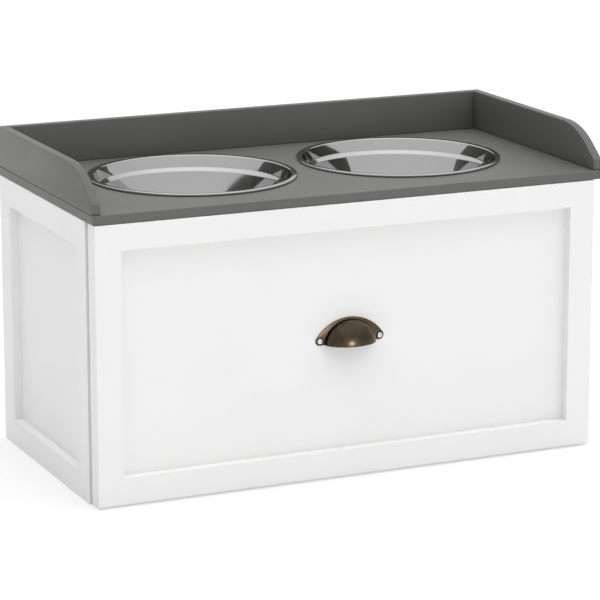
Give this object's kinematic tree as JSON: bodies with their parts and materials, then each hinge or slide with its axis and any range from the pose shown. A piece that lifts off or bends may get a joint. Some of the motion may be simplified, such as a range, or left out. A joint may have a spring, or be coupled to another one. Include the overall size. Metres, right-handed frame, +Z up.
{
  "type": "elevated dog feeder with storage",
  "caption": "Raised feeding station: a white framed cabinet with a wide roller drawer and a cup pull, under a grey tray top that holds steel bowls which lift out.",
  "frame": {"origin": "middle of the whole object's footprint, on the floor it stands on", "axes": "+X along the width to the right as seen from the drawer front, +Y from the drawer front to the rear, +Z up"},
  "size_m": [0.6, 0.312, 0.36],
  "materials": {
    "white_paint": "smooth white satin paint on fibreboard",
    "grey_paint": "smooth dark grey satin paint on fibreboard",
    "white_board": "white faced board",
    "zinc_steel": "zinc-plated steel",
    "bright_steel": "bright nickel-plated steel",
    "zinc_casting": "plain zinc casting",
    "beech": "plain fluted beech",
    "white_steel": "white powder-coated steel",
    "nylon": "white nylon",
    "dark_bronze": "dark antique bronze plating, satin",
    "stainless": "polished stainless steel"
  },
  "bodies": {
    "cabinet": {"back_panel": "white_board", "base_panel": "white_board", "cabinet_roller_axles": "zinc_steel", "cabinet_runner_left": "white_steel", "cabinet_runner_right": "white_steel", "cabinet_runner_screws": "zinc_steel", "cam_bolts": "zinc_steel", "cam_locks": "zinc_casting", "dowels": "beech", "left_side_bottom_rail": "white_paint", "left_side_front_stile": "white_paint", "left_side_rear_stile": "white_paint", "left_side_sheet": "white_paint", "left_side_top_rail": "white_paint", "right_side_bottom_rail": "white_paint", "right_side_front_stile": "white_paint", "right_side_rear_stile": "white_paint", "right_side_sheet": "white_paint", "right_side_top_rail": "white_paint", "top_board": "grey_paint", "upstand_back": "grey_paint", "upstand_left": "grey_paint", "upstand_right": "grey_paint", "upstand_screws": "zinc_steel"},
    "drawer": {"box_back": "white_board", "box_bottom": "white_board", "box_front": "white_board", "box_screws": "zinc_steel", "box_side_left": "white_board", "box_side_right": "white_board", "cup_pull": "dark_bronze", "cup_pull_screws": "bright_steel", "drawer_roller_axles": "zinc_steel", "drawer_runner_left": "white_steel", "drawer_runner_right": "white_steel", "drawer_runner_screws": "zinc_steel", "front_bottom_rail": "white_paint", "front_fixing_screws": "zinc_steel", "front_left_stile": "white_paint", "front_right_stile": "white_paint", "front_sheet": "white_paint", "front_top_rail": "white_paint"},
    "cabinet_roller_left": {"cabinet_roller_left": "nylon"},
    "cabinet_roller_right": {"cabinet_roller_right": "nylon"},
    "drawer_roller_left": {"drawer_roller_left": "nylon"},
    "drawer_roller_right": {"drawer_roller_right": "nylon"},
    "bowl_left": {"bowl_left": "stainless"},
    "bowl_right": {"bowl_right": "stainless"}
  },
  "joints": [
    {"name": "drawer_slide", "type": "slide", "parent": "cabinet", "child": "drawer", "axis": [0, -1, 0], "range_m": [0, 0.185]},
    {"name": "cabinet_roller_left_spin", "type": "hinge", "parent": "cabinet", "child": "cabinet_roller_left", "pos_m": [-0.2733, -0.1085, 0.0431], "axis": [1, 0, 0], "range_deg": [0, 1326]},
    {"name": "cabinet_roller_right_spin", "type": "hinge", "parent": "cabinet", "child": "cabinet_roller_right", "pos_m": [0.2733, -0.1085, 0.0431], "axis": [1, 0, 0], "range_deg": [0, 1326]},
    {"name": "drawer_roller_left_spin", "type": "hinge", "parent": "drawer", "child": "drawer_roller_left", "pos_m": [-0.2729, 0.11725, 0.04155], "axis": [1, 0, 0], "range_deg": [0, 1464]},
    {"name": "drawer_roller_right_spin", "type": "hinge", "parent": "drawer", "child": "drawer_roller_right", "pos_m": [0.2729, 0.11725, 0.04155], "axis": [1, 0, 0], "range_deg": [0, 1464]},
    {"name": "bowl_left_lift", "type": "slide", "parent": "cabinet", "child": "bowl_left", "axis": [0, 0, 1], "range_m": [0, 0.12]},
    {"name": "bowl_right_lift", "type": "slide", "parent": "cabinet", "child": "bowl_right", "axis": [0, 0, 1], "range_m": [0, 0.12]}
  ],
  "couplings": [
    {"joint": "cabinet_roller_left_spin", "follows": "drawer_slide", "rad_per_m": 125},
    {"joint": "cabinet_roller_right_spin", "follows": "drawer_slide", "rad_per_m": 125},
    {"joint": "drawer_roller_left_spin", "follows": "drawer_slide", "rad_per_m": 137.93},
    {"joint": "drawer_roller_right_spin", "follows": "drawer_slide", "rad_per_m": 137.93}
  ]
}
